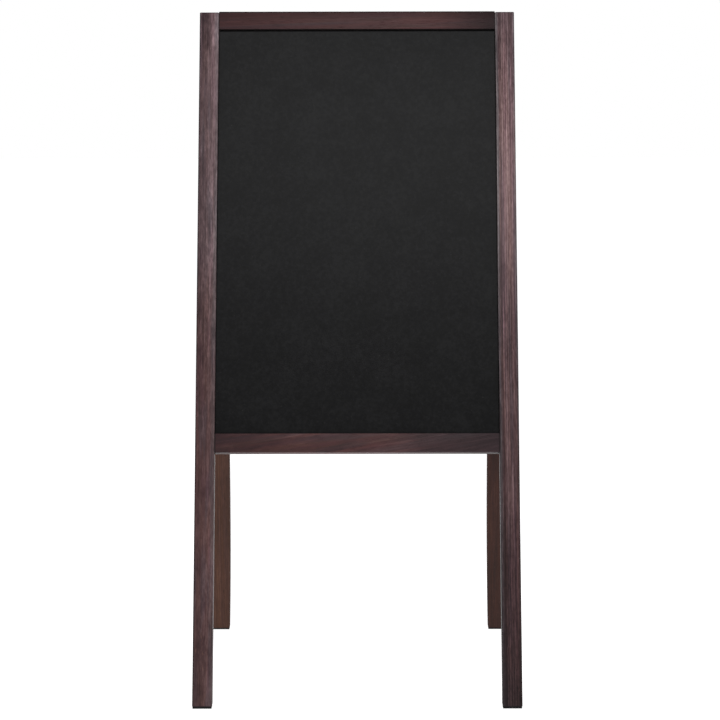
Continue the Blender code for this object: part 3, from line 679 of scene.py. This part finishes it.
boards = {side: chalkboard(side) for side in ("front", "back")}
beech = bare_beech()
leaf_steel = zinc_steel("hinge_leaf_zinc", "stay_steel", 0)
pin_steel = zinc_steel("hinge_pin_zinc", "stay_steel", 0, dull=0.24)
arm_steel = zinc_steel("stay_strip_zinc", "stay_steel", 2)
screw_steel = zinc_steel("screw_zinc", "fastener_steel", 1, base="b4b2aa", dull=0.26)
nylon = moulded("spacer_nylon", "spacer_nylon", "1c1c1e", 1500, 0.03 * MM, rough=0.38)
rubber = moulded("foot_rubber", "foot_pad", "0b0b0b", 1100, 0.08 * MM, rough=0.74)


def material_for(node):
    if node in LOOKS:
        return stained_wood(node, LOOKS[node])
    if node.endswith("chalkboard"):
        return boards[node.split("_")[0]]
    for word, material in (
        ("dowel", beech),
        ("foot_pad", rubber),
        ("spacer", nylon),
        ("screw", screw_steel),
        ("stud", screw_steel),
        ("hinge_pin", pin_steel),
        ("leaf", leaf_steel),
        ("stay", arm_steel),
    ):
        if word in node:
            return material
    raise ValueError(f"no material for {node}")


for name, piece in sorted(nodes.items()):
    material = material_for(name)
    piece.data.materials.clear()
    piece.data.materials.append(material)
    modifier = piece.modifiers.new("smooth", "NODES")
    modifier.node_group = smoothing

# ---------------------------------------------------------------- glue lines

GLUE_INSET = 0.5 * MM  # behind the faces, where the glue was wiped off
GLUE_BITE = 0.05 * MM  # into the wood on either side
GLUE_CORNER = 1.2 * MM  # radius at the rail's four edges
CORNER_STEPS = 4


def glue_line(side, level, hand, material):
    """The dark glue that fills the joint between a rail's end and its stile."""
    rail_low, rail_high = local_box(f"{side}_{level}_rail", side)
    stile_low, stile_high = local_box(f"{side}_{hand}_stile", side)
    if (stile_low.x + stile_high.x) * 0.5 > 0:
        span = rail_high.x - GLUE_BITE, stile_low.x + GLUE_BITE
    else:
        span = stile_high.x - GLUE_BITE, rail_low.x + GLUE_BITE
    low, high = rail_low.z + GLUE_INSET, min(rail_high.z, stile_high.z) - GLUE_INSET
    front, back = rail_low.y + GLUE_INSET, rail_high.y - GLUE_INSET
    centres = [(back, high, -1, -1), (front, high, 1, -1), (front, low, 1, 1), (back, low, -1, 1)]
    outline = []
    for quarter, (y, z, y_in, z_in) in enumerate(centres):
        for step in range(CORNER_STEPS + 1):
            angle = (quarter + step / CORNER_STEPS) * math.pi / 2
            corner_y = y + GLUE_CORNER * (y_in + math.cos(angle))
            corner_z = z + GLUE_CORNER * (z_in + math.sin(angle))
            outline.append((corner_y, corner_z))
    count = len(outline)
    points = [(x, y, z) for x in span for y, z in outline]
    faces = [range(count - 1, -1, -1), range(count, 2 * count)]
    for here in range(count):
        after = (here + 1) % count
        faces.append((here, after, count + after, count + here))
    mesh = bpy.data.meshes.new(f"{side}_{level}_{hand}_glue_line")
    mesh.from_pydata(points, [], faces)
    mesh.transform(frame_matrix(side))
    mesh.materials.append(material)
    piece = bpy.data.objects.new(mesh.name, mesh)
    bpy.context.scene.collection.objects.link(piece)
    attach(piece, f"{side}_frame")


GLUE_TONES = [(0.3, colour("140c0b")), (0.7, colour("24140f"))]


def dried_glue():
    """Hide-brown glue, dark with stain, with a slight gloss."""
    net = Net("dried_glue", "stained_wood")
    tone = net.even_noise(object_point(net), 400, 2.0)
    base = net.ramp(tone, GLUE_TONES)
    return net.finish(base, net.total(0.35, (tone, 0.2)), Specular_IOR_Level=0.3)


glue = dried_glue()
for side in ("front", "back"):
    for level in ("top", "bottom"):
        for hand in ("left", "right"):
            glue_line(side, level, hand, glue)

# ---------------------------------------------------------------- floor, light, camera

scene = bpy.context.scene
scene.view_settings.view_transform = "Standard"
WHITE = (1, 1, 1, 1)
FLOOR_REACH = 60.0
FLOOR_DROP = 0.2 * MM  # below the feet, so that nothing flickers where they meet
FLOOR_GREY = 0.86
FLOOR_GLOW = 0.82


def floor():
    """A plain, almost white studio floor, far larger than the view."""
    mesh = bpy.data.meshes.new("floor")
    signs = ((-1, -1), (1, -1), (1, 1), (-1, 1))
    corners = [(x * FLOOR_REACH, y * FLOOR_REACH, 0) for x, y in signs]
    mesh.from_pydata(corners, [], [(0, 1, 2, 3)])
    piece = bpy.data.objects.new("floor", mesh)
    piece.location.z = cad_lo.z - FLOOR_DROP
    scene.collection.objects.link(piece)
    material = bpy.data.materials.new("floor_white")
    material.use_nodes = True
    shader = material.node_tree.nodes["Principled BSDF"]
    shader.inputs["Base Color"].default_value = (FLOOR_GREY, FLOOR_GREY, FLOOR_GREY, 1)
    shader.inputs["Roughness"].default_value = 0.7
    shader.inputs["Specular IOR Level"].default_value = 0.2
    shader.inputs["Emission Color"].default_value = WHITE
    shader.inputs["Emission Strength"].default_value = FLOOR_GLOW
    material.cycles.emission_sampling = "NONE"
    mesh.materials.append(material)


def world(ambient, backdrop):
    """Soft even room light. The camera sees a plain white backdrop."""
    scene.world = bpy.data.worlds.new("studio")
    scene.world.use_nodes = True
    tree = scene.world.node_tree
    tree.nodes.clear()
    seen = tree.nodes.new("ShaderNodeBackground")
    seen.inputs["Strength"].default_value = backdrop
    room = tree.nodes.new("ShaderNodeBackground")
    room.inputs["Strength"].default_value = ambient
    for shade in (seen, room):
        shade.inputs["Color"].default_value = WHITE
    path = tree.nodes.new("ShaderNodeLightPath")
    choose = tree.nodes.new("ShaderNodeMixShader")
    output = tree.nodes.new("ShaderNodeOutputWorld")
    tree.links.new(path.outputs["Is Camera Ray"], choose.inputs[0])
    tree.links.new(room.outputs[0], choose.inputs[1])
    tree.links.new(seen.outputs[0], choose.inputs[2])
    tree.links.new(choose.outputs[0], output.inputs["Surface"])


def softbox(name, place, aim, width, height, power):
    """A rectangular lamp turned to its aim, in metres and watts. The camera doesn't see it."""
    light = bpy.data.lights.new(name, "AREA")
    light.shape = "RECTANGLE"
    light.size, light.size_y, light.energy = width, height, power
    lamp = bpy.data.objects.new(name, light)
    lamp.location = place
    lamp.rotation_euler = (Vector(aim) - Vector(place)).to_track_quat("-Z", "Y").to_euler()
    lamp.visible_camera = False
    scene.collection.objects.link(lamp)


floor()
world(ambient=0.28, backdrop=1.0)
softbox("key", (0.12, -1.75, 1.78), (0, -0.1, 0.65), 1.4, 0.55, 17)
softbox("back_fill", (-0.12, 1.9, 1.9), (0, 0.1, 0.65), 1.4, 0.7, 16)
for hand in (-1, 1):
    softbox(f"side_fill_{hand}", (2.4 * hand, 0, 1.5), (0, 0, 0.5), 1.4, 1.2, 9)

# The view: almost square to the front and a little downwards, from just below the easel's top.
SENSOR = 36.0
LENS = 123.32
CAMERA_PLACE = (0.0170, -3.6276, 0.7984)
CAMERA_YAW, CAMERA_PITCH, CAMERA_ROLL = (math.radians(a) for a in (0.211, 4.551, 0.100))
CAMERA_SHIFT = -0.05
CLIP_NEAR, CLIP_FAR = 0.05, 200.0


def camera():
    """The camera, turned by roll, then pitch, then yaw from looking level along +Y."""
    data = bpy.data.cameras.new("camera")
    data.sensor_width, data.lens, data.shift_y = SENSOR, LENS, CAMERA_SHIFT
    data.clip_start, data.clip_end = CLIP_NEAR, CLIP_FAR
    eye = bpy.data.objects.new("camera", data)
    turn = (
        Matrix.Rotation(CAMERA_YAW, 3, "Z")
        @ Matrix.Rotation(-CAMERA_PITCH, 3, "X")
        @ Matrix.Rotation(CAMERA_ROLL, 3, "Y")
    )
    right, ahead, up = turn.col
    basis = Matrix((right, up, -ahead)).transposed()
    eye.matrix_world = Matrix.Translation(CAMERA_PLACE) @ basis.to_4x4()
    scene.collection.objects.link(eye)
    scene.camera = eye


camera()
